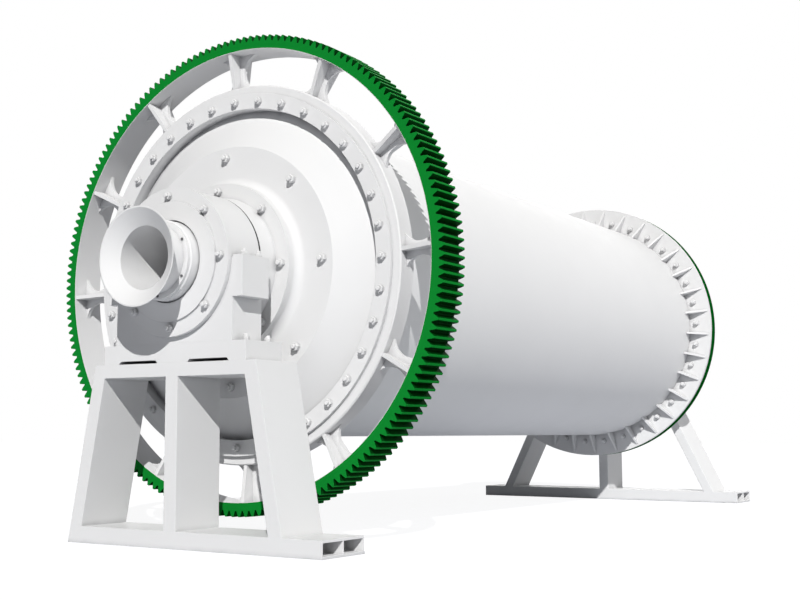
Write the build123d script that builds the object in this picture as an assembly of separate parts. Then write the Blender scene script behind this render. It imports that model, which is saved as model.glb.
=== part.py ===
from build123d import *
import math
import os

# A ball mill: a drum on two trunnion bearings, each carried by a splayed steel stand, turned by a spoked
# ring gear. Lengths are millimetres. Stations run along the mill axis from the ring gear's front face, feed
# end negative.
# Heights are measured from the mill axis until a piece is placed in the frame.

AXIS_HEIGHT = 1785.0
MIRROR_STATION = 3012.0  # the drum's discharge end repeats its feed end about this plane

# Ring gear
TOOTH_COUNT = 180
TOOTH_MODULE = 17.85
GEAR_WIDTH = 250.0
GEAR_INNER_RADIUS = 1530.0
PITCH_RADIUS = TOOTH_COUNT * TOOTH_MODULE / 2
TIP_RADIUS = PITCH_RADIUS + TOOTH_MODULE
ROOT_RADIUS = PITCH_RADIUS - 1.25 * TOOTH_MODULE
ROOT_SHARE, PITCH_SHARE, TIP_SHARE = 0.41, 0.26, 0.11  # half thickness of a tooth over its pitch

# Spokes between the hub ring and the gear rim
SPOKE_COUNT = 12
SPOKE_WEB = 30.0
SPOKE_RIB = 26.0
SPOKE_HUB_ANGLE = 4.8
SPOKE_RIM_ANGLE = 5.5
SPOKE_WAIST = 46.0
SPOKE_FIRST_ANGLE = 27.2  # degrees from straight up, towards the side seen first
SPOKE_RIB_MARGIN = 8.0

# Drum
SHELL_RADIUS = 1100.0
SHELL_WALL = 30.0
HUB_RADIUS = 1288.0
HUB_FRONT = 46.0
HUB_BACK = 204.0
HUB_BEVEL = 8.0
HEAD_FLANGE_RADIUS = 1228.0
HEAD_FLANGE_FRONT = 18.0
HEAD_FLANGE_BACK = 150.0
HEAD_RECESS_RADIUS = 1122.0
HEAD_RECESS_FLOOR = 115.0
HEAD_FLAT_RADIUS = 846.0
HEAD_FLAT_STATION = -60.0
HEAD_PLATE = 52.0
HEAD_SPIGOT_PLAY = 1.0
REAR_FLANGE_RADIUS = 1314.0
REAR_FLANGE_PLATE = 30.0
REAR_HEAD_FLANGE_FRONT = -48.0
REAR_HEAD_FLANGE_BACK = 50.0
REAR_HEAD_RECESS_FLOOR = 60.0
GUSSET_COUNT = 34
GUSSET_PLATE = 20.0
GUSSET_LENGTH = 125.0
GUSSET_TIP_RADIUS = 1292.0
GUSSET_LAND = 6.0
GUSSET_FIRST_ANGLE = 93.5  # measured as the spokes' is

# Trunnions and feed funnel
JOURNAL_RADIUS = 340.0
JOURNAL_START = -600.0
JOURNAL_END = -292.0
NECK_RADIUS = 254.0
NECK_START = -725.0
NECK_BEVEL = 8.0
TRUNNION_FLANGE_RADIUS = 578.0
TRUNNION_FLANGE_FRONT = -165.0
SEAT_FILLET = 55.0
SEAT_STATION = HEAD_FLAT_STATION - SEAT_FILLET
BOSS_RADIUS = 460.0
BOSS_FOOT_RADIUS = 478.0
THROAT_RADIUS = 198.0
TUBE_WALL = 14.0
TUBE_FLANGE_RADIUS = 245.0
TUBE_FLANGE_FRONT = -745.0
FUNNEL_START = -872.0
FUNNEL_RIM_STATION = -946.0
FUNNEL_RIM_RADIUS = 312.0
FUNNEL_WALL = 10.0

# Bearings
BEARING_FRONT = -605.0
BEARING_BACK = -320.0
BEARING_BORE_RADIUS = JOURNAL_RADIUS + 1.0
CAP_RADIUS = 468.0
HOUSING_HALF_WIDTH = 484.0
LUG_HALF_WIDTH = 560.0
LUG_TOP = 12.0
LUG_LOW = -244.0
LUG_BACK = -345.0
COVER_RADIUS = 475.0
COVER_FRONT = -640.0
COVER_DISC_RADIUS = 382.0
COVER_DISC_FRONT = -655.0
COVER_BORE_RADIUS = 262.0

# Sole plates and stands
SOLE_HALF_WIDTH = 592.0
SOLE_TOP = -512.0
SOLE_FRONT = -605.0
SOLE_BACK = -250.0
SOLE_SLOT_HEIGHT = 19.0
SOLE_SLOT_INNER = 126.0
SOLE_SLOT_OUTER = 460.0
SOLE_SLOT_SPLAY = 16.0
STAND_FRONT = -608.0
STAND_BACK = -196.0
STAND_TOP = -634.0
STAND_TOP_HALF_WIDTH = 670.0
BEAM_HEIGHT = 86.0
LEG_WIDTH = 100.0
BASE_BACK = -168.0
BASE_HEIGHT = 108.0
BASE_PLATE = 16.0
BASE_WEB = 10.0
BASE_LIP = 10.0
FRONT_FOOT_HALF_WIDTH = 893.0
FRONT_BASE_END = 1160.0
REAR_STAND_FRONT = 6243.0
REAR_FOOT_HALF_WIDTH = 1240.0
REAR_BASE_END = 1433.0

DISCHARGE_END = 2 * MIRROR_STATION - NECK_START
FRAME_STATION = (FUNNEL_RIM_STATION + DISCHARGE_END) / 2
DECK = BASE_HEIGHT - AXIS_HEIGHT


def revolved(outline):
    """Revolve a closed (station, radius) outline about the mill axis."""
    return revolve(Plane.XZ * make_face(outline), axis=Axis.X)


def turned(*profile):
    """Revolve a closed profile of (station, radius) points about the mill axis."""
    return revolved(polygon(*profile))


def along_axis(outline, start, end):
    """Extrude a closed (y, z) outline from one station to another."""
    return extrude(Plane.YZ.offset(start) * make_face(outline), amount=end - start, dir=(1, 0, 0))


def polygon(*points):
    """A closed outline through the points."""
    return Polyline(*points, close=True)


def block(x_span, y_span, z_span):
    """A box between two stations, two sides and two heights."""
    size = [high - low for low, high in (x_span, y_span, z_span)]
    centre = [(high + low) / 2 for low, high in (x_span, y_span, z_span)]
    return Pos(*centre) * Box(*size)


def discharge_end(piece):
    """The same piece at the discharge end, facing the other way."""
    return mirror(piece, about=Plane.YZ.offset(MIRROR_STATION))


def under_discharge_end(piece):
    """The same piece under the discharge end, facing the same way."""
    return Pos(REAR_STAND_FRONT - STAND_FRONT, 0, 0) * piece


def polar(radius, angle):
    """A (y, z) point at an angle in degrees from straight up."""
    return (radius * math.sin(math.radians(angle)), radius * math.cos(math.radians(angle)))


# Ring gear
def gear_rim():
    """Toothed rim with straight teeth."""
    pitch = 360.0 / TOOTH_COUNT
    flank = [
        (ROOT_RADIUS, -ROOT_SHARE), (PITCH_RADIUS, -PITCH_SHARE), (TIP_RADIUS, -TIP_SHARE),
        (TIP_RADIUS, TIP_SHARE), (PITCH_RADIUS, PITCH_SHARE), (ROOT_RADIUS, ROOT_SHARE),
    ]
    points = [
        polar(radius, (tooth + share) * pitch) for tooth in range(TOOTH_COUNT) for radius, share in flank
    ]
    rim = along_axis(polygon(*points), 0, GEAR_WIDTH)
    return rim - Pos(GEAR_WIDTH / 2, 0, 0) * Rot(0, 90, 0) * Cylinder(GEAR_INNER_RADIUS, GEAR_WIDTH)


def spoke():
    """One spoke, pointing up: a waisted web crossed by a rib along the axis."""
    middle = (HUB_RADIUS + GEAR_INNER_RADIUS) / 2
    hub_side, rim_side = polar(HUB_RADIUS, SPOKE_HUB_ANGLE), polar(GEAR_INNER_RADIUS, SPOKE_RIM_ANGLE)
    outline = [
        ThreePointArc((-hub_side[0], hub_side[1]), (0, HUB_RADIUS), hub_side),
        ThreePointArc(hub_side, (SPOKE_WAIST, middle), rim_side),
        ThreePointArc(rim_side, (0, GEAR_INNER_RADIUS), (-rim_side[0], rim_side[1])),
        ThreePointArc((-rim_side[0], rim_side[1]), (-SPOKE_WAIST, middle), (-hub_side[0], hub_side[1])),
    ]
    centre = GEAR_WIDTH / 2
    web = along_axis(outline, centre - SPOKE_WEB / 2, centre + SPOKE_WEB / 2)
    rib_side = polygon(
        (HUB_FRONT + HUB_BEVEL, HUB_RADIUS - SPOKE_RIB_MARGIN), (HUB_FRONT + HUB_BEVEL, HUB_RADIUS),
        (SPOKE_RIB_MARGIN, GEAR_INNER_RADIUS), (GEAR_WIDTH - SPOKE_RIB_MARGIN, GEAR_INNER_RADIUS),
        (HUB_BACK - HUB_BEVEL, HUB_RADIUS), (HUB_BACK - HUB_BEVEL, HUB_RADIUS - SPOKE_RIB_MARGIN),
    )
    rib = extrude(Plane.XZ * make_face(rib_side), amount=SPOKE_RIB / 2, both=True)
    hub_space = Pos(centre, 0, 0) * Rot(0, 90, 0) * Cylinder(HUB_RADIUS, GEAR_WIDTH)
    rim_space = Pos(centre, 0, 0) * Rot(0, 90, 0) * Cylinder(GEAR_INNER_RADIUS, GEAR_WIDTH)
    return web + ((rib & rim_space) - hub_space)


def gear_spokes():
    """All the spokes, each a solid of its own."""
    step = 360.0 / SPOKE_COUNT
    return Compound(
        children=[Rot(SPOKE_FIRST_ANGLE + step * turn, 0, 0) * spoke() for turn in range(SPOKE_COUNT)]
    )


def gear_hub_ring():
    """Ring on the shell's front end that carries the spokes and takes the head's bolts."""
    return turned(
        (HUB_FRONT, HEAD_FLANGE_RADIUS), (HUB_FRONT, HUB_RADIUS - HUB_BEVEL),
        (HUB_FRONT + HUB_BEVEL, HUB_RADIUS), (HUB_BACK - HUB_BEVEL, HUB_RADIUS),
        (HUB_BACK, HUB_RADIUS - HUB_BEVEL), (HUB_BACK, SHELL_RADIUS),
        (HEAD_FLANGE_BACK, SHELL_RADIUS), (HEAD_FLANGE_BACK, HEAD_FLANGE_RADIUS),
    )


# Drum
def shell():
    """Plain rolled cylinder between the two heads."""
    inner = SHELL_RADIUS - SHELL_WALL
    rear = 2 * MIRROR_STATION - REAR_HEAD_FLANGE_BACK
    return turned(
        (HEAD_FLANGE_BACK, inner), (HEAD_FLANGE_BACK, SHELL_RADIUS), (rear, SHELL_RADIUS), (rear, inner),
    )


def head(flange_radius, flange_front, flange_back, recess_floor):
    """Dished head set back in its bolting flange, with a raised, filleted seat for the trunnion."""
    spigot = SHELL_RADIUS - SHELL_WALL - HEAD_SPIGOT_PLAY
    fillet = CenterArc((SEAT_STATION, TRUNNION_FLANGE_RADIUS + SEAT_FILLET), SEAT_FILLET, -90, 90)
    outline = Polyline(
        fillet @ 1, (HEAD_FLAT_STATION, HEAD_FLAT_RADIUS), (recess_floor, HEAD_RECESS_RADIUS),
        (flange_front, HEAD_RECESS_RADIUS), (flange_front, flange_radius), (flange_back, flange_radius),
        (flange_back, spigot), (recess_floor + HEAD_PLATE, spigot),
        (HEAD_FLAT_STATION + HEAD_PLATE, HEAD_FLAT_RADIUS - HEAD_PLATE),
        (HEAD_FLAT_STATION + HEAD_PLATE, THROAT_RADIUS), (SEAT_STATION, THROAT_RADIUS), fillet @ 0,
    )
    return revolved([fillet, outline])


def rear_shell_flange():
    """Flange at the shell's discharge end with gussets back to the shell."""
    back = 2 * MIRROR_STATION - REAR_HEAD_FLANGE_BACK
    front = back - REAR_FLANGE_PLATE
    ring = turned(
        (front, SHELL_RADIUS), (front, REAR_FLANGE_RADIUS), (back, REAR_FLANGE_RADIUS), (back, SHELL_RADIUS),
    )
    side = polygon(
        (front, SHELL_RADIUS - GUSSET_PLATE), (front, GUSSET_TIP_RADIUS),
        (front - GUSSET_LAND, GUSSET_TIP_RADIUS), (front - GUSSET_LENGTH, SHELL_RADIUS + GUSSET_LAND),
        (front - GUSSET_LENGTH, SHELL_RADIUS - GUSSET_PLATE),
    )
    gusset = extrude(Plane.XZ * make_face(side), amount=GUSSET_PLATE / 2, both=True)
    step = 360.0 / GUSSET_COUNT
    gussets = [Rot(GUSSET_FIRST_ANGLE + step * turn, 0, 0) * gusset for turn in range(GUSSET_COUNT)]
    shell_space = Pos(front, 0, 0) * Rot(0, 90, 0) * Cylinder(SHELL_RADIUS, 4 * GUSSET_LENGTH)
    return ring.fuse(*gussets) - shell_space


def trunnion():
    """Hollow trunnion: flange on the head's seat, boss, journal, and a neck through the bearing cover."""
    return turned(
        (SEAT_STATION, THROAT_RADIUS), (NECK_START, THROAT_RADIUS), (NECK_START, NECK_RADIUS - NECK_BEVEL),
        (NECK_START + NECK_BEVEL, NECK_RADIUS), (JOURNAL_START, NECK_RADIUS), (JOURNAL_START, JOURNAL_RADIUS),
        (JOURNAL_END, JOURNAL_RADIUS), (JOURNAL_END, BOSS_RADIUS), (TRUNNION_FLANGE_FRONT, BOSS_FOOT_RADIUS),
        (TRUNNION_FLANGE_FRONT, TRUNNION_FLANGE_RADIUS), (SEAT_STATION, TRUNNION_FLANGE_RADIUS),
    )


def feed_tube():
    """Short tube bolted to the feed trunnion's end."""
    outer = THROAT_RADIUS + TUBE_WALL
    return turned(
        (NECK_START, THROAT_RADIUS), (NECK_START, TUBE_FLANGE_RADIUS),
        (TUBE_FLANGE_FRONT, TUBE_FLANGE_RADIUS), (TUBE_FLANGE_FRONT, outer),
        (FUNNEL_START, outer), (FUNNEL_START, THROAT_RADIUS),
    )


def feed_funnel():
    """Thin flared mouth in front of the feed tube."""
    return turned(
        (FUNNEL_START, THROAT_RADIUS), (FUNNEL_START, THROAT_RADIUS + TUBE_WALL),
        (FUNNEL_RIM_STATION, FUNNEL_RIM_RADIUS), (FUNNEL_RIM_STATION, FUNNEL_RIM_RADIUS - FUNNEL_WALL),
    )


# Bearings
def bearing_bore():
    """The space that the journal runs in."""
    middle = (BEARING_FRONT + BEARING_BACK) / 2
    reach = 2 * (BEARING_BACK - BEARING_FRONT)
    return Pos(middle, 0, 0) * Rot(0, 90, 0) * Cylinder(BEARING_BORE_RADIUS, reach)


def bearing_housing():
    """Lower half: a block on the sole plate with a square lug on each side."""
    body = block((BEARING_FRONT, BEARING_BACK), (-HOUSING_HALF_WIDTH, HOUSING_HALF_WIDTH), (SOLE_TOP, 0))
    lug = block((BEARING_FRONT, LUG_BACK), (HOUSING_HALF_WIDTH, LUG_HALF_WIDTH), (LUG_LOW, LUG_TOP))
    return body + lug + mirror(lug, about=Plane.XZ) - bearing_bore()


def bearing_cap():
    """Upper half: a half barrel over the journal."""
    ring = turned(
        (BEARING_FRONT, BEARING_BORE_RADIUS), (BEARING_FRONT, CAP_RADIUS),
        (BEARING_BACK, CAP_RADIUS), (BEARING_BACK, BEARING_BORE_RADIUS),
    )
    lower_half = block((2 * BEARING_FRONT, 0), (-2 * CAP_RADIUS, 2 * CAP_RADIUS), (-2 * CAP_RADIUS, 0))
    return ring - lower_half


def bearing_cover():
    """End cover: a bolted ring with a raised disc round the trunnion's neck."""
    return turned(
        (BEARING_FRONT, COVER_BORE_RADIUS), (BEARING_FRONT, COVER_RADIUS), (COVER_FRONT, COVER_RADIUS),
        (COVER_FRONT, COVER_DISC_RADIUS), (COVER_DISC_FRONT, COVER_DISC_RADIUS),
        (COVER_DISC_FRONT, COVER_BORE_RADIUS),
    )


def sole_plate():
    """Thick plate under the bearing, relieved below by two slots with splayed ends."""
    plate = block((SOLE_FRONT, SOLE_BACK), (-SOLE_HALF_WIDTH, SOLE_HALF_WIDTH), (STAND_TOP, SOLE_TOP))
    slot_top = STAND_TOP + SOLE_SLOT_HEIGHT
    slot_side = polygon(
        (SOLE_SLOT_INNER, STAND_TOP), (SOLE_SLOT_OUTER, STAND_TOP),
        (SOLE_SLOT_OUTER - SOLE_SLOT_SPLAY, slot_top), (SOLE_SLOT_INNER + SOLE_SLOT_SPLAY, slot_top),
    )
    slot = along_axis(slot_side, SOLE_FRONT, SOLE_BACK)
    return plate - slot - mirror(slot, about=Plane.XZ)


# Stands
class Stand:
    """A top beam on three posts over a hollow base, for one foot width."""

    def __init__(self, foot_half_width, right_end, left_end):
        self.slope = (foot_half_width - STAND_TOP_HALF_WIDTH) / (AXIS_HEIGHT + STAND_TOP)
        self.right_end = right_end
        self.left_end = left_end

    def half_width(self, height):
        """Half width over the outer posts at a height."""
        return STAND_TOP_HALF_WIDTH + self.slope * (STAND_TOP - height)

    def top_beam(self):
        under = STAND_TOP - BEAM_HEIGHT
        wide, narrow = self.half_width(under), self.half_width(STAND_TOP)
        outline = polygon((-narrow, STAND_TOP), (narrow, STAND_TOP), (wide, under), (-wide, under))
        return along_axis(outline, STAND_FRONT, STAND_BACK)

    def side_leg(self, side):
        """An outer post, leaning in; side is 1 for left and -1 for right."""
        top = STAND_TOP - BEAM_HEIGHT
        upper, lower = self.half_width(top), self.half_width(DECK)
        outline = polygon(
            (side * upper, top), (side * lower, DECK),
            (side * (lower - LEG_WIDTH), DECK), (side * (upper - LEG_WIDTH), top),
        )
        return along_axis(outline, STAND_FRONT, STAND_BACK)

    def middle_leg(self):
        half = LEG_WIDTH / 2
        return block((STAND_FRONT, STAND_BACK), (-half, half), (DECK, STAND_TOP - BEAM_HEIGHT))

    def base(self):
        """Box base of two long cells, open at its ends, on a slightly wider bottom plate."""
        ground = -AXIS_HEIGHT
        span = (-self.right_end, self.left_end)
        body = block((STAND_FRONT, BASE_BACK - BASE_LIP), span, (ground, DECK))
        cell_width = (BASE_BACK - BASE_LIP - STAND_FRONT - 3 * BASE_WEB) / 2
        for cell in range(2):
            start = STAND_FRONT + BASE_WEB + cell * (cell_width + BASE_WEB)
            body -= block((start, start + cell_width), span, (ground + BASE_PLATE, DECK - BASE_PLATE))
        lip = block((BASE_BACK - BASE_LIP, BASE_BACK), span, (ground, ground + BASE_PLATE))
        return body + lip


class TrimmedStand(Stand):
    """The feed-end stand, whose base stops at the left post's outer line."""

    def base(self):
        deck, foot = self.half_width(DECK), self.half_width(-AXIS_HEIGHT)
        beyond = polygon(
            (deck, DECK), (foot, -AXIS_HEIGHT), (2 * foot, -AXIS_HEIGHT), (2 * foot, DECK),
        )
        return super().base() - along_axis(beyond, STAND_FRONT, BASE_BACK)


front_stand = TrimmedStand(FRONT_FOOT_HALF_WIDTH, FRONT_BASE_END, FRONT_FOOT_HALF_WIDTH)
rear_stand = Stand(REAR_FOOT_HALF_WIDTH, REAR_BASE_END, REAR_BASE_END)

nodes = {
    "front_stand_base": front_stand.base(),
    "front_stand_left_leg": front_stand.side_leg(1),
    "front_stand_middle_leg": front_stand.middle_leg(),
    "front_stand_right_leg": front_stand.side_leg(-1),
    "front_stand_top_beam": front_stand.top_beam(),
    "rear_stand_base": under_discharge_end(rear_stand.base()),
    "rear_stand_left_leg": under_discharge_end(rear_stand.side_leg(1)),
    "rear_stand_middle_leg": under_discharge_end(rear_stand.middle_leg()),
    "rear_stand_right_leg": under_discharge_end(rear_stand.side_leg(-1)),
    "rear_stand_top_beam": under_discharge_end(rear_stand.top_beam()),
    "shell": shell(),
    "front_head": head(HEAD_FLANGE_RADIUS, HEAD_FLANGE_FRONT, HEAD_FLANGE_BACK, HEAD_RECESS_FLOOR),
    "rear_head": discharge_end(
        head(REAR_FLANGE_RADIUS, REAR_HEAD_FLANGE_FRONT, REAR_HEAD_FLANGE_BACK, REAR_HEAD_RECESS_FLOOR)
    ),
    "rear_shell_flange": rear_shell_flange(),
    "gear_hub_ring": gear_hub_ring(),
    "gear_spokes": gear_spokes(),
    "gear_rim": gear_rim(),
    "front_trunnion": trunnion(),
    "rear_trunnion": discharge_end(trunnion()),
    "feed_tube": feed_tube(),
    "feed_funnel": feed_funnel(),
}
bearing_pieces = {
    "sole_plate": sole_plate,
    "bearing_housing": bearing_housing,
    "bearing_cap": bearing_cap,
    "bearing_cover": bearing_cover,
}
for name, make in bearing_pieces.items():
    nodes["front_" + name] = make()
    nodes["rear_" + name] = discharge_end(make())

os.makedirs("parts", exist_ok=True)
for name, solid in nodes.items():
    export_step(Pos(-FRAME_STATION, 0, AXIS_HEIGHT) * solid, f"parts/{name}.step")
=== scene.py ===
"""Looks of the ball mill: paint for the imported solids, and the fasteners that hold them together."""
import logging
import math
from dataclasses import dataclass
from enum import Enum
from typing import Callable, Iterable, Sequence

import bmesh
import bpy
from mathutils import Matrix, Vector


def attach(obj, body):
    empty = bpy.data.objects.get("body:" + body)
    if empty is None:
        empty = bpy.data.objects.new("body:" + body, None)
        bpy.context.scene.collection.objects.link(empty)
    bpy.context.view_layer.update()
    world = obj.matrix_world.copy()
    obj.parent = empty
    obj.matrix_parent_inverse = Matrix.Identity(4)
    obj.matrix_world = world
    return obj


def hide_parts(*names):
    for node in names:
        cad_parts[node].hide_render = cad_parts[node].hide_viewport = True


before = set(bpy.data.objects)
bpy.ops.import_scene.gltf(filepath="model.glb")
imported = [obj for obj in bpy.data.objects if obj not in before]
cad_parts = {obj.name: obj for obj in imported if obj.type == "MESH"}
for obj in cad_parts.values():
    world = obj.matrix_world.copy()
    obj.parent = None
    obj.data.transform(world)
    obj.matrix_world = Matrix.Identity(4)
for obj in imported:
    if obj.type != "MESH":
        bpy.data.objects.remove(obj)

log = logging.getLogger("ball_mill")

Colour = tuple[float, float, float]

MM = 0.001
# Millimetres: the frame origin's station, the axis above ground, and the middle between the ends.
FRAME_STATION = 2901.5
AXIS_HEIGHT = 1785.0
MIRROR_STATION = 3012.0
# How near vertices are when they merge, in metres, and which angles count as flat and as sharp.
MERGE_DISTANCE = 1e-5
WELD_FLATNESS = math.radians(1.0)
SHARP_ANGLE = math.radians(30)
EDGE_SEGMENTS = 2
# How far up the normal of a top face points, at least.
UPWARDS = 0.9
# Degrees: the first nut's turn on its seat, and how much further each next one is turned.
NUT_FIRST_SPIN = 12.0
NUT_SPIN_STEP = 37.0


class Body(Enum):
    """The two bodies that pieces ride on."""

    STANDS = "stands"
    DRUM = "drum"


class Element(Enum):
    """What is picked in edit mode."""

    EDGES = "EDGE"
    FACES = "FACE"


class End(Enum):
    """The mill's two ends, by the direction in which each end faces along the axis."""

    FEED = -1
    DISCHARGE = 1

    @property
    def prefix(self) -> str:
        """The first word of the names of this end's nodes."""
        return "front" if self is End.FEED else "rear"

    def station(self, feed_station: float) -> float:
        """Where a feed-end station lies at this end.

        Args:
            feed_station: Millimetres along the axis from the ring gear's front face.

        Returns:
            The same station at this end, mirrored at the discharge end.
        """
        return feed_station if self is End.FEED else 2 * MIRROR_STATION - feed_station


def point(station: float, across: float, up: float) -> Vector:
    """A place in the frame.

    Args:
        station: Millimetres along the axis from the ring gear's front face.
        across: Millimetres to the left of the axis, seen from the feed end.
        up: Millimetres above the axis.

    Returns:
        The place in metres.
    """
    return Vector(((station - FRAME_STATION) * MM, across * MM, (up + AXIS_HEIGHT) * MM))


def deselect() -> None:
    """Leave edit mode and deselect every object."""
    if bpy.context.object and bpy.context.object.mode != "OBJECT":
        bpy.ops.object.mode_set(mode="OBJECT")
    bpy.ops.object.select_all(action="DESELECT")


def pick_only(piece: bpy.types.Object) -> None:
    """Select one object and make it active.

    Args:
        piece: The object.
    """
    deselect()
    piece.select_set(True)
    bpy.context.view_layer.objects.active = piece


def pick(
        piece: bpy.types.Object, kind: Element,
        test: Callable[[bmesh.types.BMEdge | bmesh.types.BMFace], bool]) -> None:
    """Go into edit mode with only some edges or faces selected.

    Args:
        piece: The object to edit.
        kind: Whether edges or faces are picked.
        test: Says whether one edge or face is selected.
    """
    pick_only(piece)
    bpy.ops.object.mode_set(mode="EDIT")
    bpy.ops.mesh.select_mode(type=kind.value)
    bpy.ops.mesh.select_all(action="DESELECT")
    mesh = bmesh.from_edit_mesh(piece.data)
    for element in mesh.edges if kind is Element.EDGES else mesh.faces:
        element.select_set(test(element))
    bmesh.update_edit_mesh(piece.data)


def leave_edit() -> None:
    """Go back to object mode."""
    bpy.ops.object.mode_set(mode="OBJECT")


def merge_doubles(piece: bpy.types.Object, dissolve: bool = False) -> None:
    """Merge a mesh's double vertices.

    Args:
        piece: The object to clean.
        dissolve: Whether faces in one plane are made one face too.
    """
    pick_only(piece)
    bpy.ops.object.mode_set(mode="EDIT")
    bpy.ops.mesh.select_all(action="SELECT")
    bpy.ops.mesh.remove_doubles(threshold=MERGE_DISTANCE)
    if dissolve:
        bpy.ops.mesh.dissolve_limited(angle_limit=WELD_FLATNESS)
    leave_edit()


def round_edges(piece: bpy.types.Object, width: float) -> None:
    """Round the sharp edges of the active object.

    Args:
        piece: The active object.
        width: Width of the rounded edges in millimetres.
    """
    edges = piece.modifiers.new("edges", "BEVEL")
    edges.width = width * MM
    edges.segments = EDGE_SEGMENTS
    edges.limit_method = "ANGLE"
    edges.angle_limit = SHARP_ANGLE
    bpy.ops.object.modifier_apply(modifier=edges.name)


def joined(pieces: Sequence[bpy.types.Object], name: str) -> bpy.types.Object:
    """Join objects into one, with its place in its mesh.

    Args:
        pieces: The objects to join.
        name: The joined object's name.

    Returns:
        The joined object, at the origin.
    """
    deselect()
    for piece in pieces:
        piece.select_set(True)
    bpy.context.view_layer.objects.active = pieces[0]
    if len(pieces) > 1:
        bpy.ops.object.join()
    whole = bpy.context.view_layer.objects.active
    bpy.ops.object.transform_apply(location=True, rotation=True, scale=True)
    whole.name = name
    whole.data.name = name
    return whole


def node_copy(node_name: str, name: str) -> bpy.types.Object:
    """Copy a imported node's mesh into a new object with its loose triangles merged.

    Args:
        node_name: The node to copy.
        name: The copy's name.

    Returns:
        The copy, which may be changed.
    """
    copy = bpy.data.objects.new(name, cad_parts[node_name].data.copy())
    bpy.context.scene.collection.objects.link(copy)
    merge_doubles(copy)
    return copy


def welded(node_names: Sequence[str], name: str, rounding: float) -> bpy.types.Object:
    """Fuse copies of touching nodes into one welded piece with rounded edges.

    Args:
        node_names: The nodes, each touching one before it.
        name: The piece's name.
        rounding: Width of the rounded edges in millimetres.

    Returns:
        The welded piece.
    """
    whole = node_copy(node_names[0], name)
    for node_name in node_names[1:]:
        other = node_copy(node_name, node_name + "_copy")
        pick_only(whole)
        fuse = whole.modifiers.new("weld", "BOOLEAN")
        fuse.operation = "UNION"
        fuse.solver = "EXACT"
        fuse.object = other
        bpy.ops.object.modifier_apply(modifier=fuse.name)
        bpy.data.objects.remove(other)
    merge_doubles(whole, dissolve=True)
    round_edges(whole, rounding)
    bpy.ops.object.shade_flat()
    return whole


@dataclass(frozen=True)
class Grain:
    """A kind of noise over a surface.

    Attributes:
        waves: Waves per metre.
        detail: Octaves of finer noise.
        low: Value below which it counts as none.
        high: Value above which it counts as full.
    """

    waves: float
    detail: float
    low: float = 0.3
    high: float = 0.7


CLOUD = Grain(1.7, 5.0)
PATCH = Grain(9.0, 4.0, high=0.75)
SHEEN = Grain(6.0, 6.0)
RIPPLE = Grain(40.0, 1.0)
SMEAR = Grain(14.0, 4.0)
BRUSH = Grain(70.0, 2.0)


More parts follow.
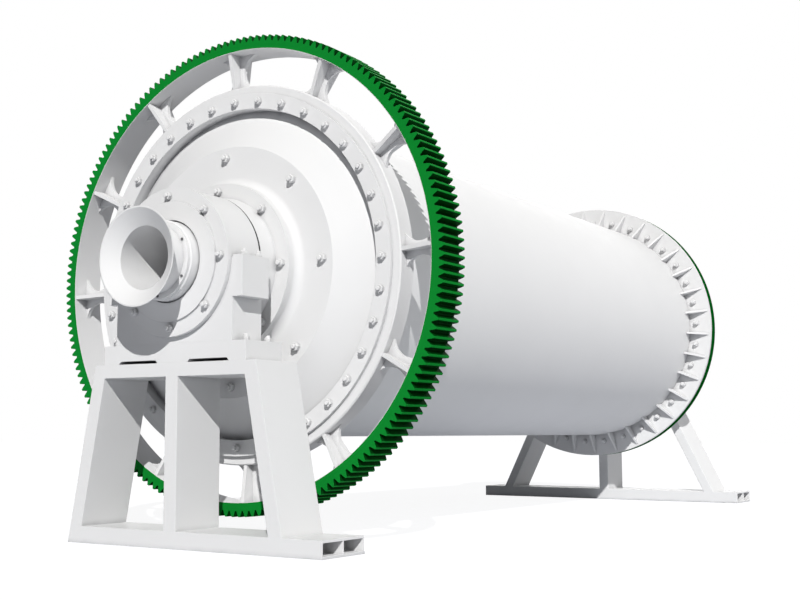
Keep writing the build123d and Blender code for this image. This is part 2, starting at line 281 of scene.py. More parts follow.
class Nodes:
    """A material's shader nodes, with short ways to add and join them."""

    def __init__(self, name: str) -> None:
        """Start an empty material with one surface shader.

        Args:
            name: The material's name.
        """
        self.material = bpy.data.materials.new(name)
        self.material.use_nodes = True
        self.tree = self.material.node_tree
        self.tree.nodes.clear()
        output = self.tree.nodes.new("ShaderNodeOutputMaterial")
        self.shader = self.add("ShaderNodeBsdfPrincipled")
        self.join(self.shader.outputs["BSDF"], output.inputs["Surface"])
        self.place = self.add("ShaderNodeTexCoord").outputs["Object"]

    def add(self, kind: str, **values: object) -> bpy.types.Node:
        """Add a node and set its own properties.

        Args:
            kind: The node's type.
            values: Properties of the node by name.

        Returns:
            The new node.
        """
        node = self.tree.nodes.new(kind)
        for key, value in values.items():
            setattr(node, key, value)
        return node

    def join(self, source: bpy.types.NodeSocket, target: bpy.types.NodeSocket) -> None:
        """Link an output to an input."""
        self.tree.links.new(source, target)

    def math(
            self, operation: str, first: bpy.types.NodeSocket,
            second: bpy.types.NodeSocket | float = 0.0) -> bpy.types.NodeSocket:
        """Add a sum.

        Args:
            operation: The kind of sum.
            first: An output.
            second: An output or a number.

        Returns:
            The result's output.
        """
        node = self.add("ShaderNodeMath", operation=operation)
        self.join(first, node.inputs[0])
        if isinstance(second, bpy.types.NodeSocket):
            self.join(second, node.inputs[1])
        else:
            node.inputs[1].default_value = second
        return node.outputs[0]

    def noise(self, grain: Grain) -> bpy.types.NodeSocket:
        """Add noise over the piece.

        Args:
            grain: The kind of noise.

        Returns:
            The noise, from 0 to 1.
        """
        node = self.add("ShaderNodeTexNoise")
        node.inputs["Scale"].default_value = grain.waves
        node.inputs["Detail"].default_value = grain.detail
        self.join(self.place, node.inputs["Vector"])
        return node.outputs["Fac"]

    def varied(self, grain: Grain, low: float, high: float) -> bpy.types.NodeSocket:
        """Add a number that varies over the piece.

        Args:
            grain: The kind of noise.
            low: Lowest number.
            high: Highest number.

        Returns:
            The number's output.
        """
        return self.spread(self.noise(grain), grain.low, grain.high, low, high)

    def spread(self, source: bpy.types.NodeSocket, low: float, high: float,
               to_low: float, to_high: float) -> bpy.types.NodeSocket:
        """Stretch a range of values onto another.

        Args:
            source: The output to stretch.
            low: Value that becomes to_low.
            high: Value that becomes to_high.
            to_low: New low value.
            to_high: New high value.

        Returns:
            The stretched output, clamped to the new range.
        """
        node = self.add("ShaderNodeMapRange")
        limits = {"From Min": low, "From Max": high, "To Min": to_low, "To Max": to_high}
        for socket, value in limits.items():
            node.inputs[socket].default_value = value
        self.join(source, node.inputs["Value"])
        return node.outputs["Result"]

    def blend(
            self, share: bpy.types.NodeSocket, first: bpy.types.NodeSocket | Colour,
            second: bpy.types.NodeSocket | Colour) -> bpy.types.NodeSocket:
        """Mix two colours.

        Args:
            share: How much of the second.
            first: A colour or an output.
            second: A colour or an output.

        Returns:
            The mixed colour.
        """
        node = self.add("ShaderNodeMix", data_type="RGBA")
        self.join(share, node.inputs["Factor"])
        for socket, value in ((node.inputs["A"], first), (node.inputs["B"], second)):
            if isinstance(value, bpy.types.NodeSocket):
                self.join(value, socket)
            else:
                socket.default_value = (*value, 1.0)
        return node.outputs["Result"]

    def radius(self) -> bpy.types.NodeSocket:
        """Distance of each point from the mill axis.

        Returns:
            The distance in metres.
        """
        split = self.add("ShaderNodeSeparateXYZ")
        self.join(self.place, split.inputs[0])
        up = self.math("SUBTRACT", split.outputs["Z"], AXIS_HEIGHT * MM)
        across = self.math("MULTIPLY", split.outputs["Y"], split.outputs["Y"])
        return self.math("SQRT", self.math("ADD", across, self.math("MULTIPLY", up, up)))


@dataclass(frozen=True)
class Paint:
    """A sprayed satin paint on steel, darkened in its corners by painted shade.

    Attributes:
        name: The material's name.
        colour: Linear colour of clean paint.
        dust: Linear colour that the paint clouds towards at random, and the colour of the painted shade in
            corners.
        cloud: How much the colour varies over half a metre.
        roughness: Mean roughness.
        sheen_spread: How much the roughness varies.
        peel: Height of the spray's fine ripple in metres.
        edge: Radius of the rounded edges in metres.
        gloss: Strength of the clear reflection.
        painted_shade: How dark the painted shade is in the deepest corners, from 0 to 1.
        painted_shade_reach: How far from a corner the painted shade reaches, in metres.
        painted_shade_open: How open a place may be and still get some painted shade, from 0 to 1.
        painted_shade_shut: How open a place is where the painted shade is darkest, from 0 to 1.
        painted_shade_patches: Share of the painted shade that is left in the lightest patches.
        ripple: Strength of the spray's fine ripple.
        corner_rays: Rays that look for corners.
        edge_rays: Rays that look for edges.
    """

    name: str
    colour: Colour
    dust: Colour
    cloud: float = 0.05
    roughness: float = 0.40
    sheen_spread: float = 0.06
    peel: float = 0.0002
    edge: float = 0.0028
    gloss: float = 0.35
    painted_shade: float = 0.35
    painted_shade_reach: float = 0.12
    painted_shade_open: float = 0.65
    painted_shade_shut: float = 0.1
    painted_shade_patches: float = 0.5
    ripple: float = 0.25
    corner_rays: int = 16
    edge_rays: int = 6

    def shade(self, nodes: Nodes) -> bpy.types.NodeSocket:
        """Colour of the paint, clouded at random and darkened in the corners by painted shade.

        Args:
            nodes: The material's nodes.

        Returns:
            The colour.
        """
        base = nodes.blend(nodes.varied(CLOUD, 0.0, self.cloud), self.colour, self.dust)
        # Ambient occlusion darkens corners and recesses towards dust, in patches: painted shade.
        corner = nodes.add("ShaderNodeAmbientOcclusion", samples=self.corner_rays)
        corner.inputs["Distance"].default_value = self.painted_shade_reach
        corner_shade = nodes.spread(corner.outputs["AO"], self.painted_shade_shut, self.painted_shade_open, self.painted_shade, 0.0)
        patchy = nodes.varied(PATCH, self.painted_shade_patches, 1.0)
        return nodes.blend(nodes.math("MULTIPLY", corner_shade, patchy), base, self.dust)

    def finish(self, nodes: Nodes) -> None:
        """Set the roughness, the ripple and the rounded edges.

        Args:
            nodes: The material's nodes.
        """
        matt = nodes.varied(SHEEN, self.roughness - self.sheen_spread, self.roughness + self.sheen_spread)
        nodes.join(matt, nodes.shader.inputs["Roughness"])
        rounded = nodes.add("ShaderNodeBevel", samples=self.edge_rays)
        rounded.inputs["Radius"].default_value = self.edge
        ripple = nodes.add("ShaderNodeBump")
        ripple.inputs["Strength"].default_value = self.ripple
        ripple.inputs["Distance"].default_value = self.peel
        nodes.join(nodes.noise(RIPPLE), ripple.inputs["Height"])
        nodes.join(rounded.outputs["Normal"], ripple.inputs["Normal"])
        nodes.join(ripple.outputs["Normal"], nodes.shader.inputs["Normal"])
        nodes.shader.inputs["Specular IOR Level"].default_value = self.gloss

    def material(self) -> bpy.types.Material:
        """Make the paint's material.

        Returns:
            The material.
        """
        nodes = Nodes(self.name)
        nodes.join(self.shade(nodes), nodes.shader.inputs["Base Color"])
        self.finish(nodes)
        return nodes.material


@dataclass(frozen=True)
class BandedPaint:
    """Two paints that meet at a radius about the mill axis.

    Attributes:
        name: The material's name.
        inner: Paint nearer to the axis.
        outer: Paint further out.
        radius: Where they meet, in metres.
        ragged: How far the brushed line strays, in metres.
    """

    name: str
    inner: Paint
    outer: Paint
    radius: float
    ragged: float = 0.0004

    def material(self) -> bpy.types.Material:
        """Make the banded material.

        Returns:
            The material.
        """
        nodes = Nodes(self.name)
        reach = nodes.math("ADD", nodes.radius(), nodes.varied(BRUSH, -self.ragged, self.ragged))
        outside = nodes.math("GREATER_THAN", reach, self.radius)
        colour = nodes.blend(outside, self.inner.shade(nodes), self.outer_shade(nodes))
        nodes.join(colour, nodes.shader.inputs["Base Color"])
        self.outer.finish(nodes)
        return nodes.material

    def outer_shade(self, nodes: Nodes) -> bpy.types.NodeSocket:
        """Colour of the outer band."""
        return self.outer.shade(nodes)


@dataclass(frozen=True)
class GearPaint(BandedPaint):
    """A gear's paint, with greasy tooth flanks and gaps whose dark colour is also painted shade.

    Attributes:
        grease: Linear colour of the greasy flanks, as dark as painted shade in the tooth gaps.
        clean_radius: Beyond this radius the tooth tips are wiped clean, in metres.
        thinnest: Share of the dark flank colour where it is thinnest.
        side_facing: Faces that point less than this along the axis count as flanks.
    """

    grease: Colour = (0.00035, 0.03, 0.0031)
    clean_radius: float = 1.6215
    thinnest: float = 0.86
    side_facing: float = 0.5

    def outer_shade(self, nodes: Nodes) -> bpy.types.NodeSocket:
        """Colour of the teeth and of the rim's faces, darkened on the flanks as greasy paint and painted
        shade.

        Args:
            nodes: The material's nodes.

        Returns:
            The colour.
        """
        split = nodes.add("ShaderNodeSeparateXYZ")
        nodes.join(nodes.add("ShaderNodeNewGeometry").outputs["True Normal"], split.inputs[0])
        # Faces that point sideways, below the tips, get the dark flank colour: greasy paint and painted
        # shade.
        edgewise = nodes.math("LESS_THAN", nodes.math("ABSOLUTE", split.outputs["X"]), self.side_facing)
        below_tips = nodes.math("LESS_THAN", nodes.radius(), self.clean_radius)
        smeared = nodes.varied(SMEAR, self.thinnest, 1.0)
        greased_and_shaded = nodes.math("MULTIPLY", nodes.math("MULTIPLY", edgewise, below_tips), smeared)
        return nodes.blend(greased_and_shaded, self.outer.shade(nodes), self.grease)


# Each paint's second colour is what it clouds towards and also the colour of its painted shade in corners.
WHITE = Paint(
    "white_satin_paint", (0.70, 0.70, 0.704), (0.225, 0.225, 0.238), cloud=0.025, gloss=0.03, painted_shade=0.9,
    painted_shade_reach=0.065, painted_shade_open=0.76)
# The same white for the nuts, with darker and stronger painted shade in their corners.
NUT_WHITE = Paint(
    "white_nut_paint", (0.70, 0.70, 0.704), (0.10, 0.10, 0.108), cloud=0.025, gloss=0.03, edge=0.0015,
    painted_shade=1.0, painted_shade_reach=0.05, painted_shade_open=0.92)
# The gear's green, with painted shade in the tooth gaps.
GREEN = Paint(
    "green_gear_paint", (0.0044, 0.20, 0.0242), (0.0018, 0.052, 0.007), edge=0.002, gloss=0.005, painted_shade=0.6,
    painted_shade_reach=0.04)
DARK_GREEN = Paint(
    "dark_green_rim_paint", (0.0009, 0.074, 0.007), (0.0009, 0.026, 0.0035), roughness=0.55, gloss=0.0)
RUBBER = Paint("black_rubber", (0.031, 0.031, 0.032), (0.061, 0.061, 0.063), roughness=0.6, gloss=0.2)
# Dark grey all over the feed tube's small screws, so that their sockets show dark: painted shade.
SOCKET_SHADE_GREY = Paint(
    "screw_socket_shade_grey", (0.13, 0.13, 0.135), (0.044, 0.044, 0.0455), roughness=0.45, gloss=0.4)
GEAR_PAINT = GearPaint("gear_rim_paint", WHITE, GREEN, radius=1.5325)
REAR_RIM_PAINT = BandedPaint("rear_rim_paint", WHITE, DARK_GREEN, radius=1.308)


class Finishes:
    """The materials, each made once."""

    def __init__(self) -> None:
        """Make every material that the mill uses."""
        self.white = WHITE.material()
        self.nut_white = NUT_WHITE.material()
        self.gear = GEAR_PAINT.material()
        self.rear_rim = REAR_RIM_PAINT.material()
        self.rubber = RUBBER.material()
        self.socket_shade_grey = SOCKET_SHADE_GREY.material()

    @staticmethod
    def coat(piece: bpy.types.Object, material: bpy.types.Material) -> None:
        """Give a piece one material all over."""
        piece.data.materials.clear()
        piece.data.materials.append(material)


@dataclass
class Fastener:
    """A hexagon nut on a stud, over a washer. Sizes are millimetres.

    Attributes:
        name: The fastener's name.
        across_flats: The nut's width over its flats.
        nut_height: The nut's height.
        stud_radius: The stud's radius.
        stud_reach: How far the stud stands out of the nut.
        washer_radius: The washer's radius.
        washer_height: The washer's thickness.
        washer_sides: Sides of the washer's circle.
        stud_sides: Sides of the stud's circle.
        washer_chamfer: Chamfer as a share of the washer's thickness.
        nut_chamfer: Chamfer as a share of the nut's height.
        point_inset: How much narrower the stud's point is, as a share of its radius.
        point_height: Height of the stud's point, as a share of its radius.
    """

    name: str
    across_flats: float
    nut_height: float
    stud_radius: float
    stud_reach: float
    washer_radius: float
    washer_height: float
    washer_sides: int = 20
    stud_sides: int = 14
    washer_chamfer: float = 0.3
    nut_chamfer: float = 0.12
    point_inset: float = 0.22
    point_height: float = 0.16

    @staticmethod
    def chamfered(piece: bpy.types.Object, width: float) -> bpy.types.Object:
        """Chamfer a piece's upper edges.

        Args:
            piece: A prism round its own middle.
            width: The chamfer's width in metres.

        Returns:
            The same piece.
        """
        pick(piece, Element.EDGES, lambda edge: all(vert.co.z > 0 for vert in edge.verts))
        bpy.ops.mesh.bevel(offset=width, segments=1, affect="EDGES")
        leave_edit()
        return piece

    def washer(self) -> bpy.types.Object:
        """A flat washer whose upper edge is chamfered.

        Returns:
            The washer.
        """
        deselect()
        height = self.washer_height * MM
        bpy.ops.mesh.primitive_cylinder_add(
            vertices=self.washer_sides, radius=self.washer_radius * MM, depth=height,
            location=(0, 0, height / 2))
        return self.chamfered(bpy.context.object, self.washer_chamfer * height)

    def nut(self) -> bpy.types.Object:
        """A hexagon nut whose outer corners are chamfered.

        Returns:
            The nut.
        """
        deselect()
        height = self.nut_height * MM
        bpy.ops.mesh.primitive_cylinder_add(
            vertices=6, radius=self.across_flats * MM / math.sqrt(3), depth=height,
            location=(0, 0, self.washer_height * MM + height / 2))
        return self.chamfered(bpy.context.object, self.nut_chamfer * height)

    def stud(self) -> bpy.types.Object:
        """The stud's end, turned down to a short point.

        Returns:
            The stud.
        """
        deselect()
        base = (self.washer_height + self.nut_height) * MM
        reach = self.stud_reach * MM
        radius = self.stud_radius * MM
        bpy.ops.mesh.primitive_cylinder_add(
            vertices=self.stud_sides, radius=radius, depth=reach, location=(0, 0, base + reach / 2))
        stud = bpy.context.object
        pick(stud, Element.FACES, lambda face: face.normal.z > UPWARDS)
        bpy.ops.mesh.inset(thickness=self.point_inset * radius, depth=self.point_height * radius)
        leave_edit()
        return stud

    def model(self) -> bpy.types.Object:
        """Model one fastener standing up from the origin.

        Returns:
            The fastener, to be copied and then removed.
        """
        whole = joined([self.washer(), self.nut(), self.stud()], self.name)
        bpy.ops.object.shade_smooth_by_angle(angle=SHARP_ANGLE)
        return whole

    def placed(self, name: str, seats: Iterable[Matrix]) -> bpy.types.Object:
        """Copy the fastener to many seats and join the copies.

        Args:
            name: The joined piece's name.
            seats: Where each copy stands; a seat's Z points out of its face.

        Returns:
            One object with all the copies.
        """
        return copied(self.model(), name, seats)


@dataclass
class SocketScrew:
    """A small screw whose round head has a key socket. Sizes are millimetres.

    Attributes:
        head_radius: The head's radius.
        head_height: The head's height.
        socket_radius: The socket's radius.
        socket_depth: The socket's depth as a share of the head's height.
        sides: Sides of the head's circle.
    """

    head_radius: float
    head_height: float
    socket_radius: float
    socket_depth: float = 0.6
    sides: int = 12

    def placed(self, name: str, seats: Iterable[Matrix]) -> bpy.types.Object:
        """Model one screw and copy it to its seats.

        Args:
            name: The joined piece's name.
            seats: Where each copy stands; a seat's Z points out of its face.

        Returns:
            One object with all the copies.
        """
        deselect()
        height = self.head_height * MM
        bpy.ops.mesh.primitive_cylinder_add(
            vertices=self.sides, radius=self.head_radius * MM, depth=height, location=(0, 0, height / 2))
        screw = bpy.context.object
        pick(screw, Element.FACES, lambda face: face.normal.z > UPWARDS)
        bpy.ops.mesh.inset(thickness=(self.head_radius - self.socket_radius) * MM)
        sunk = (0, 0, -self.socket_depth * height)
        bpy.ops.mesh.extrude_region_move(TRANSFORM_OT_translate={"value": sunk})
        leave_edit()
        return copied(joined([screw], name), name, seats)


def copied(pattern: bpy.types.Object, name: str, seats: Iterable[Matrix]) -> bpy.types.Object:
    """Copy a pattern to many seats, join the copies and remove the pattern.

    Args:
        pattern: The object to copy, standing up from the origin.
        name: The joined piece's name.
        seats: Where each copy stands; a seat's Z points out of its face.

    Returns:
        One object with all the copies.
    """
    copies = []
    for seat in seats:
        copy = bpy.data.objects.new(name, pattern.data.copy())
        copy.data.transform(seat)
        bpy.context.scene.collection.objects.link(copy)
        copies.append(copy)
    bpy.data.objects.remove(pattern)
    return joined(copies, name)


# Across flats, nut height, stud radius, stud reach, washer radius and washer height.
HEAD_NUT = Fastener("head_nut", 51, 29, 16, 18, 29, 3)
TRUNNION_NUT = Fastener("trunnion_nut", 48, 28, 15, 16, 28, 3)
REAR_NUT = Fastener("rear_nut", 45, 27, 15, 14, 27, 3)
COVER_NUT = Fastener("cover_nut", 44, 25, 14, 16, 26, 3)
LUG_NUT = Fastener("lug_nut", 41, 24, 14, 12, 24, 4)
RIM_NUT = Fastener("rim_nut", 46, 26, 14, 12, 26, 3)
TUBE_SCREW = SocketScrew(8.5, 7.0, 5.0)


def outward(facing: Vector, spin: float) -> Matrix:
    """A turn that points Z along a direction.

    Args:
        facing: The direction.
        spin: Degrees to turn about it.

    Returns:
        The turn.
    """
    turn = facing.to_track_quat("Z", "Y").to_matrix().to_4x4()
    return turn @ Matrix.Rotation(math.radians(spin), 4, "Z")


def along(end_sign: int) -> Vector:
    """The axis direction that faces the feed end (-1) or the discharge end (1)."""
    return Vector((end_sign, 0, 0))


def circle_seats(
        station: float, radius: float, count: int, first_angle: float, facing: int) -> list[Matrix]:
    """Seats evenly round the mill axis.

    Args:
        station: Where the face lies, in millimetres from the ring gear's front face.
        radius: Radius of the bolt circle in millimetres.
        count: How many seats.
        first_angle: Degrees from the side seen first, upwards.
        facing: -1 for a face towards the feed end, 1 for the other way.

    Returns:
        One matrix for each seat.
    """
    seats = []
    for turn in range(count):
        angle = math.radians(first_angle + 360.0 / count * turn)
        place = point(station, -radius * math.cos(angle), radius * math.sin(angle))
        spin = NUT_SPIN_STEP * turn + NUT_FIRST_SPIN
        seats.append(Matrix.Translation(place) @ outward(along(facing), spin))
    return seats


@dataclass
class Assembly:
    """A sub-assembly of the mill: nodes that carry a finish, and pieces added to them.

    Sizes are millimetres: stations from the ring gear's front face, and heights from the mill axis.

    Attributes:
        finishes: The materials.
    """

    finishes: Finishes

    def dress(self) -> None:
        """Paint the nodes."""
        raise NotImplementedError

    def build(self) -> None:
        """Add the pieces."""
        raise NotImplementedError

    def keep(self, piece: bpy.types.Object, body: Body, finish: bpy.types.Material) -> None:
        """Coat a new piece, let it ride a body, and log it.

        Args:
            piece: The new piece.
            body: The body that carries it.
            finish: Its finish.
        """
        self.finishes.coat(piece, finish)
        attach(piece, body.value)
        log.info("%s rides on %s, %d faces", piece.name, body.value, len(piece.data.polygons))

    def paint(self, names: Iterable[str], material: bpy.types.Material) -> None:
        """Give some nodes a material.

        Args:
            names: The nodes' names.
            material: Their finish.
        """
        for name in names:
            self.finishes.coat(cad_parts[name], material)
            log.info("%s is painted with %s", name, material.name)


@dataclass
class Stand(Assembly):
    """One end's stand and sole plate.

    Attributes:
        end: Which end.
        sole_half_width: Half the sole plate's width.
        sole_top: Height of its top.
        sole_front: Station of its outer edge at the feed end.
        sole_back: Station of its inner edge at the feed end.
        housing_half_width: Half the bearing housing's width.
        rounding: Width of the frame's rounded edges.
        nut_inset: How far its nuts stand in from the plate's edges.
        nut_spin: Degrees that its nuts are turned.
    """

    end: End
    sole_half_width: float = 592.0
    sole_top: float = -512.0
    sole_front: float = -605.0
    sole_back: float = -250.0
    housing_half_width: float = 484.0
    rounding: float = 6.0
    nut_inset: float = 70.0
    nut_spin: float = 20.0

    def dress(self) -> None:
        """Paint the stand's nodes."""
        self.paint([f"{self.end.prefix}_sole_plate", *self.frame_names()], self.finishes.white)

    def frame_names(self) -> list[str]:
        """Names of the nodes that are welded into one frame."""
        names = ("top_beam", "left_leg", "middle_leg", "right_leg", "base")
        return [f"{self.end.prefix}_stand_{name}" for name in names]

    def build(self) -> None:
        """Weld the frame, and set the nuts on the sole plate, beside the housing."""
        weldment = welded(self.frame_names(), f"{self.end.prefix}_stand_frame", self.rounding)
        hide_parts(*self.frame_names())
        self.keep(weldment, Body.STANDS, self.finishes.white)
        across = (self.sole_half_width + self.housing_half_width) / 2
        stations = (self.sole_front + self.nut_inset, self.sole_back - self.nut_inset)
        seats = [
            Matrix.Translation(point(self.end.station(station), side * across, self.sole_top))
            @ outward(Vector((0, 0, 1)), spin=self.nut_spin * side)
            for station in stations for side in (-1, 1)
        ]
        nuts = LUG_NUT.placed(f"{self.end.prefix}_sole_nuts", seats)
        self.keep(nuts, Body.STANDS, self.finishes.nut_white)


@dataclass
class Bearing(Assembly):
    """One end's trunnion bearing.

    Attributes:
        end: Which end.
        cover_face: Station of the cover's bolted face at the feed end.
        cover_bolt_radius: Radius of the cover's bolt circle.
        cover_bolts: How many bolts it has.
        cover_bolt_angle: Degrees of its first bolt.
        lug_top: Height of the side lugs.
        lug_across: How far the lugs' bolts are from the axis.
        lug_stations: Stations of the lugs' bolts at the feed end.
        lug_nut_spin: Degrees that the lugs' nuts are turned.
        back: Station of the bearing's inner end at the feed end.
        seal_radius: The seal's outer radius.
        seal_depth: How far the seal reaches in.
        seal_width: The seal's thickness along the axis.
        seal_rounding: Width of the seal's rounded edges.
        seal_sides: Sides of the seal's circle.
    """

    end: End
    cover_face: float = -640.0
    cover_bolt_radius: float = 421.0
    cover_bolts: int = 8
    cover_bolt_angle: float = 1.7
    lug_top: float = 12.0
    lug_across: float = 522.0
    lug_stations: tuple[float, float] = (-540.0, -400.0)
    lug_nut_spin: float = 15.0
    back: float = -320.0
    seal_radius: float = 467.0
    seal_depth: float = 110.0
    seal_width: float = 16.0
    seal_rounding: float = 2.0
    seal_sides: int = 96

    def dress(self) -> None:
        """Paint the bearing's nodes."""
        names = ("bearing_housing", "bearing_cap", "bearing_cover")
        self.paint([f"{self.end.prefix}_{name}" for name in names], self.finishes.white)

    def build(self) -> None:
        """Set the cover's nuts, the nuts on the side lugs and the seal."""
        cover_seats = circle_seats(
            self.end.station(self.cover_face), self.cover_bolt_radius, self.cover_bolts,
            self.cover_bolt_angle, self.end.value)
        cover_nuts = COVER_NUT.placed(f"{self.end.prefix}_cover_nuts", cover_seats)
        self.keep(cover_nuts, Body.STANDS, self.finishes.nut_white)
        lug_seats = [
            Matrix.Translation(point(self.end.station(station), side * self.lug_across, self.lug_top))
            @ outward(Vector((0, 0, 1)), spin=self.lug_nut_spin)
            for station in self.lug_stations for side in (-1, 1)
        ]
        lug_nuts = LUG_NUT.placed(f"{self.end.prefix}_lug_nuts", lug_seats)
        self.keep(lug_nuts, Body.STANDS, self.finishes.nut_white)
        self.keep(self.seal(), Body.STANDS, self.finishes.rubber)

    def seal(self) -> bpy.types.Object:
        """A rubber ring on the bearing's back, round the trunnion.

        Returns:
            The ring.
        """
        deselect()
        bpy.ops.mesh.primitive_circle_add(
            vertices=self.seal_sides, radius=self.seal_radius * MM, fill_type="NOTHING",
            rotation=(0, math.radians(90), 0), location=point(self.end.station(self.back), 0, 0))
        ring = joined([bpy.context.object], f"{self.end.prefix}_bearing_seal")
        pick(ring, Element.EDGES, lambda edge: True)
        inwards = -self.end.value * self.seal_width * MM
        bpy.ops.mesh.extrude_edges_move(TRANSFORM_OT_translate={"value": (inwards, 0, 0)})
        bpy.ops.mesh.select_all(action="SELECT")
        bpy.ops.mesh.normals_make_consistent(inside=False)
        leave_edit()
        wall = ring.modifiers.new("wall", "SOLIDIFY")
        wall.thickness = self.seal_depth * MM
        wall.offset = -1.0
        bpy.ops.object.modifier_apply(modifier=wall.name)
        round_edges(ring, self.seal_rounding)
        bpy.ops.object.shade_smooth_by_angle(angle=SHARP_ANGLE)
        return ring


@dataclass
class Drum(Assembly):
    """Shell, heads, trunnions and feed funnel.

    Attributes:
        head_face: Station of the feed head's flat face; the discharge head mirrors it.
        head_bolt_radius: Radius of the heads' inner bolt circle.
        head_bolt_angle: Degrees of its first bolt.
        trunnion_face: Station of the feed trunnion's flange; the other one mirrors it.
        trunnion_bolt_radius: Radius of the trunnion flanges' bolt circle.
        trunnion_bolt_angle: Degrees of its first bolt.
        bolts: Bolts in each of these circles.
        front_flange_face: Station of the feed head's bolting flange.
        front_flange_radius: Radius of its bolt circle.
        front_flange_bolts: How many bolts it has.
        front_flange_angle: Degrees of its first bolt.
        rear_flange_face: Station of the discharge flange's inner face.
        rear_head_face: Station of the discharge head's flange.
        rear_flange_radius: Radius of their bolt circle.
        rear_flange_bolts: How many bolts it has.
        rear_flange_angle: Degrees of its first bolt.
        tube_face: Station of the feed tube's flange.
        tube_screw_radius: Radius of its screw circle.
        tube_screws: How many screws it has.
        tube_screw_angle: Degrees of its first screw.
    """

    head_face: float = -60.0
    head_bolt_radius: float = 773.0
    head_bolt_angle: float = 2.2
    trunnion_face: float = -165.0
    trunnion_bolt_radius: float = 522.0
    trunnion_bolt_angle: float = 0.5
    bolts: int = 8
    front_flange_face: float = 18.0
    front_flange_radius: float = 1172.0
    front_flange_bolts: int = 36
    front_flange_angle: float = 1.0
    rear_flange_face: float = 5944.0
    rear_head_face: float = 6072.0
    rear_flange_radius: float = 1170.0
    rear_flange_bolts: int = 34
    rear_flange_angle: float = 1.7
    tube_face: float = -745.0
    tube_screw_radius: float = 228.5
    tube_screws: int = 6
    tube_screw_angle: float = 30.0

    def dress(self) -> None:
        """Paint the drum's nodes; the discharge head's rim is green."""
        white = ("shell", "front_head", "rear_shell_flange", "front_trunnion", "rear_trunnion")
        self.paint((*white, "feed_tube", "feed_funnel"), self.finishes.white)
        self.paint(("rear_head",), self.finishes.rear_rim)

    def build(self) -> None:
        """Set the nuts of the flanges, heads, trunnions and feed tube."""
        front = circle_seats(
            self.front_flange_face, self.front_flange_radius, self.front_flange_bolts,
            self.front_flange_angle, End.FEED.value)
        self.keep(RIM_NUT.placed("front_flange_nuts", front), Body.DRUM, self.finishes.nut_white)
        for name, face, end in (
                ("rear_flange_nuts", self.rear_flange_face, End.FEED),
                ("rear_head_nuts", self.rear_head_face, End.DISCHARGE)):
            seats = circle_seats(
                face, self.rear_flange_radius, self.rear_flange_bolts, self.rear_flange_angle, end.value)
            self.keep(REAR_NUT.placed(name, seats), Body.DRUM, self.finishes.nut_white)
        head = (self.head_face, self.head_bolt_radius, self.head_bolt_angle)
        trunnion = (self.trunnion_face, self.trunnion_bolt_radius, self.trunnion_bolt_angle)
        for end in End:
            for name, nut, (face, radius, angle) in (
                    ("head_nuts", HEAD_NUT, head), ("trunnion_nuts", TRUNNION_NUT, trunnion)):
                seats = circle_seats(end.station(face), radius, self.bolts, angle, end.value)
                nuts = nut.placed(f"{end.prefix}_inner_{name}", seats)
                self.keep(nuts, Body.DRUM, self.finishes.nut_white)
        tube = circle_seats(
            self.tube_face, self.tube_screw_radius, self.tube_screws, self.tube_screw_angle, End.FEED.value)
        screws = TUBE_SCREW.placed("feed_tube_screws", tube)
        self.keep(screws, Body.DRUM, self.finishes.socket_shade_grey)


@dataclass
class RingGear(Assembly):
    """Toothed rim, spokes and hub ring.

    Attributes:
        hub_back: Station of the hub ring's inner face.
        bolt_radius: Radius of its bolt circle.
        bolts: How many bolts it has.
        first_angle: Degrees of its first bolt.
    """

    hub_back: float = 204.0
    bolt_radius: float = 1172.0
    bolts: int = 36
    first_angle: float = 1.0

    def dress(self) -> None:
        """Paint the gear: green teeth and faces, white inside and on the spokes."""
        self.paint(("gear_spokes", "gear_hub_ring"), self.finishes.white)
        self.paint(("gear_rim",), self.finishes.gear)

    def build(self) -> None:
        """Set the nuts behind the hub ring."""
        facing = End.DISCHARGE.value
        seats = circle_seats(self.hub_back, self.bolt_radius, self.bolts, self.first_angle, facing)
        self.keep(RIM_NUT.placed("hub_ring_nuts", seats), Body.DRUM, self.finishes.nut_white)


@dataclass(frozen=True)
class SoftBox:
    """A wide soft light far away.

    Attributes:
        towards: Direction from the mill to the light.
        strength: Brightness at its middle.
        tightness: How quickly it fades away from its middle.
    """

    towards: tuple[float, float, float]
    strength: float
    tightness: float


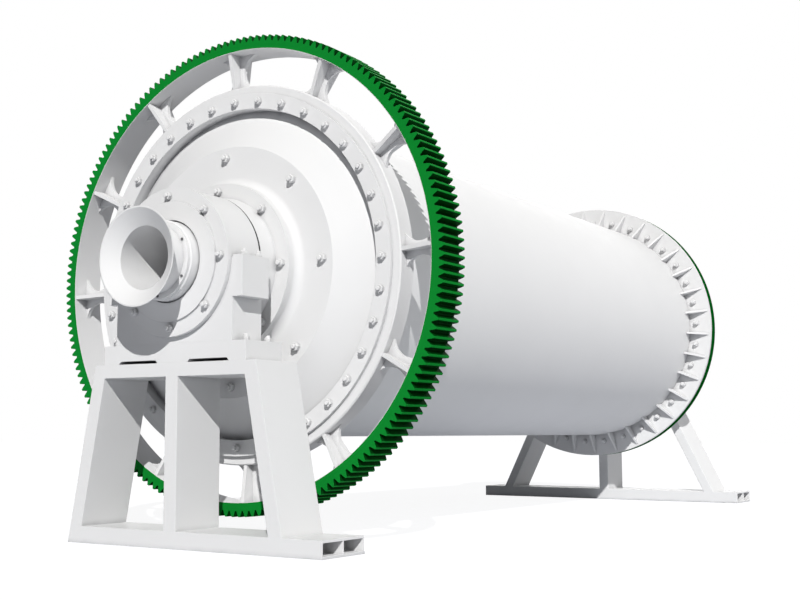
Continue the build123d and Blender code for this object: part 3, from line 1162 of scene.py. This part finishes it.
@dataclass
class Studio:
    """Floor, light and camera.

    Attributes:
        camera_place: The camera's place in metres.
        camera_turn: The camera's turns in degrees.
        sensor_width: The sensor's width in millimetres.
        lens: The focal length in millimetres.
        shift: Sideways shift as a share of the picture's width.
        sun_travel: Direction in which the key light travels.
        sun_strength: The key light's strength.
        sun_colour: The key light's colour.
        sun_width: The key light's width in degrees.
        gleam: Brightness added to the surround where it is reflected.
        soft_boxes: The soft lights.
        floor_half: Half the floor's width in metres.
        floor_cells: How many cells the floor has each way.
        floor_shade: The floor's colour.
        floor_glow: Brightness of the floor in the picture.
        floor_glow_share: Share of that brightness; the rest shows the shadows.
    """

    camera_place: tuple[float, float, float] = (-9.2264, -5.2403, 0.7228)
    camera_turn: tuple[float, float, float] = (96.121, 0.0, -55.777)
    sensor_width: float = 36.0
    lens: float = 55.10
    shift: float = 0.0625
    sun_travel: tuple[float, float, float] = (0.692, 0.470, -0.548)
    sun_strength: float = 3.70
    sun_colour: Colour = (1.0, 0.992, 0.975)
    sun_width: float = 0.6
    gleam: float = 1.0
    soft_boxes: tuple[SoftBox, ...] = (
        SoftBox((0.25, -0.95, 0.17), 0.55, 4.0), SoftBox((0.45, -0.62, 0.64), 0.54, 5.0),
        SoftBox((0.6, 0.75, 0.28), 0.50, 2.0), SoftBox((0.97, 0.18, 0.16), 1.3, 10.0))
    floor_half: float = 60.0
    floor_cells: int = 4
    floor_shade: Colour = (0.63, 0.65, 0.70)
    floor_glow: float = 1.2
    floor_glow_share: float = 0.75

    def camera(self) -> None:
        """Set the camera at the photograph's viewing angle."""
        data = bpy.data.cameras.new("camera")
        data.sensor_width = self.sensor_width
        data.lens = self.lens
        data.shift_x = self.shift
        camera = bpy.data.objects.new("camera", data)
        camera.location = self.camera_place
        camera.rotation_euler = [math.radians(angle) for angle in self.camera_turn]
        bpy.context.scene.collection.objects.link(camera)
        bpy.context.scene.camera = camera

    def key_light(self) -> None:
        """Set the main light, crisp enough to draw the shadows' edges."""
        data = bpy.data.lights.new("key", "SUN")
        data.energy = self.sun_strength
        data.color = self.sun_colour
        data.angle = math.radians(self.sun_width)
        key = bpy.data.objects.new("key", data)
        key.rotation_euler = Vector(self.sun_travel).to_track_quat("-Z", "Y").to_euler()
        bpy.context.scene.collection.objects.link(key)

    @staticmethod
    def box_glow(
            tree: bpy.types.NodeTree, direction: bpy.types.NodeSocket,
            box: SoftBox) -> bpy.types.NodeSocket:
        """Add one soft box to the surround.

        Args:
            tree: The surround's nodes.
            direction: Where each point of the surround lies.
            box: The soft box.

        Returns:
            Its brightness at each point.
        """
        facing = tree.nodes.new("ShaderNodeVectorMath")
        facing.operation = "DOT_PRODUCT"
        facing.inputs[1].default_value = box.towards
        tree.links.new(direction, facing.inputs[0])
        ahead = tree.nodes.new("ShaderNodeMath")
        ahead.operation = "MAXIMUM"
        ahead.inputs[1].default_value = 0.0
        tree.links.new(facing.outputs["Value"], ahead.inputs[0])
        narrowed = tree.nodes.new("ShaderNodeMath")
        narrowed.operation = "POWER"
        narrowed.inputs[1].default_value = box.tightness
        tree.links.new(ahead.outputs[0], narrowed.inputs[0])
        lobe = tree.nodes.new("ShaderNodeMapRange")
        lobe.inputs["To Max"].default_value = box.strength
        tree.links.new(narrowed.outputs[0], lobe.inputs["Value"])
        return lobe.outputs["Result"]

    def surround(self) -> None:
        """Set the soft boxes and a white background for the camera."""
        world = bpy.data.worlds.new("surround")
        bpy.context.scene.world = world
        world.use_nodes = True
        tree = world.node_tree
        tree.nodes.clear()
        direction = tree.nodes.new("ShaderNodeTexCoord").outputs["Generated"]
        first, *others = self.soft_boxes
        total = self.box_glow(tree, direction, first)
        for box in others:
            added = tree.nodes.new("ShaderNodeMath")
            tree.links.new(total, added.inputs[0])
            tree.links.new(self.box_glow(tree, direction, box), added.inputs[1])
            total = added.outputs[0]
        path = tree.nodes.new("ShaderNodeLightPath")
        gleam = tree.nodes.new("ShaderNodeMath")
        gleam.operation = "MULTIPLY_ADD"
        gleam.inputs[1].default_value = self.gleam
        tree.links.new(path.outputs["Is Glossy Ray"], gleam.inputs[0])
        tree.links.new(total, gleam.inputs[2])
        strength = tree.nodes.new("ShaderNodeMix")
        strength.inputs["B"].default_value = 1.0
        background = tree.nodes.new("ShaderNodeBackground")
        background.inputs["Color"].default_value = (1.0, 1.0, 1.0, 1.0)
        output = tree.nodes.new("ShaderNodeOutputWorld")
        tree.links.new(path.outputs["Is Camera Ray"], strength.inputs["Factor"])
        tree.links.new(gleam.outputs[0], strength.inputs["A"])
        tree.links.new(strength.outputs["Result"], background.inputs["Strength"])
        tree.links.new(background.outputs[0], output.inputs["Surface"])

    def floor(self) -> None:
        """Lay a pale floor that shades off into the surround."""
        deselect()
        bpy.ops.mesh.primitive_grid_add(
            x_subdivisions=self.floor_cells, y_subdivisions=self.floor_cells, size=2 * self.floor_half)
        floor = bpy.context.object
        floor.name = "floor"
        material = bpy.data.materials.new("pale_floor")
        material.use_nodes = True
        tree = material.node_tree
        tree.nodes.clear()
        matt = tree.nodes.new("ShaderNodeBsdfDiffuse")
        matt.inputs["Color"].default_value = (*self.floor_shade, 1.0)
        glow = tree.nodes.new("ShaderNodeEmission")
        glow.inputs["Strength"].default_value = self.floor_glow
        path = tree.nodes.new("ShaderNodeLightPath")
        share = tree.nodes.new("ShaderNodeMath")
        share.operation = "MULTIPLY"
        share.inputs[1].default_value = self.floor_glow_share
        mix = tree.nodes.new("ShaderNodeMixShader")
        output = tree.nodes.new("ShaderNodeOutputMaterial")
        tree.links.new(path.outputs["Is Camera Ray"], share.inputs[0])
        tree.links.new(share.outputs[0], mix.inputs[0])
        tree.links.new(matt.outputs[0], mix.inputs[1])
        tree.links.new(glow.outputs[0], mix.inputs[2])
        tree.links.new(mix.outputs[0], output.inputs["Surface"])
        Finishes.coat(floor, material)

    def build(self) -> None:
        """Set up the whole studio."""
        self.camera()
        self.key_light()
        self.surround()
        self.floor()
        bpy.context.scene.view_settings.view_transform = "Standard"


def main() -> None:
    """Dress the mill, add its fasteners and set up the studio."""
    logging.basicConfig(level=logging.INFO, format="%(message)s")
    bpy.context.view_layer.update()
    finishes = Finishes()
    assemblies: list[Assembly] = []
    for end in End:
        assemblies.append(Stand(finishes, end=end))
        assemblies.append(Bearing(finishes, end=end))
    assemblies.append(Drum(finishes))
    assemblies.append(RingGear(finishes))
    for assembly in assemblies:
        assembly.dress()
        assembly.build()
    Studio().build()


if __name__ == "__main__":
    main()
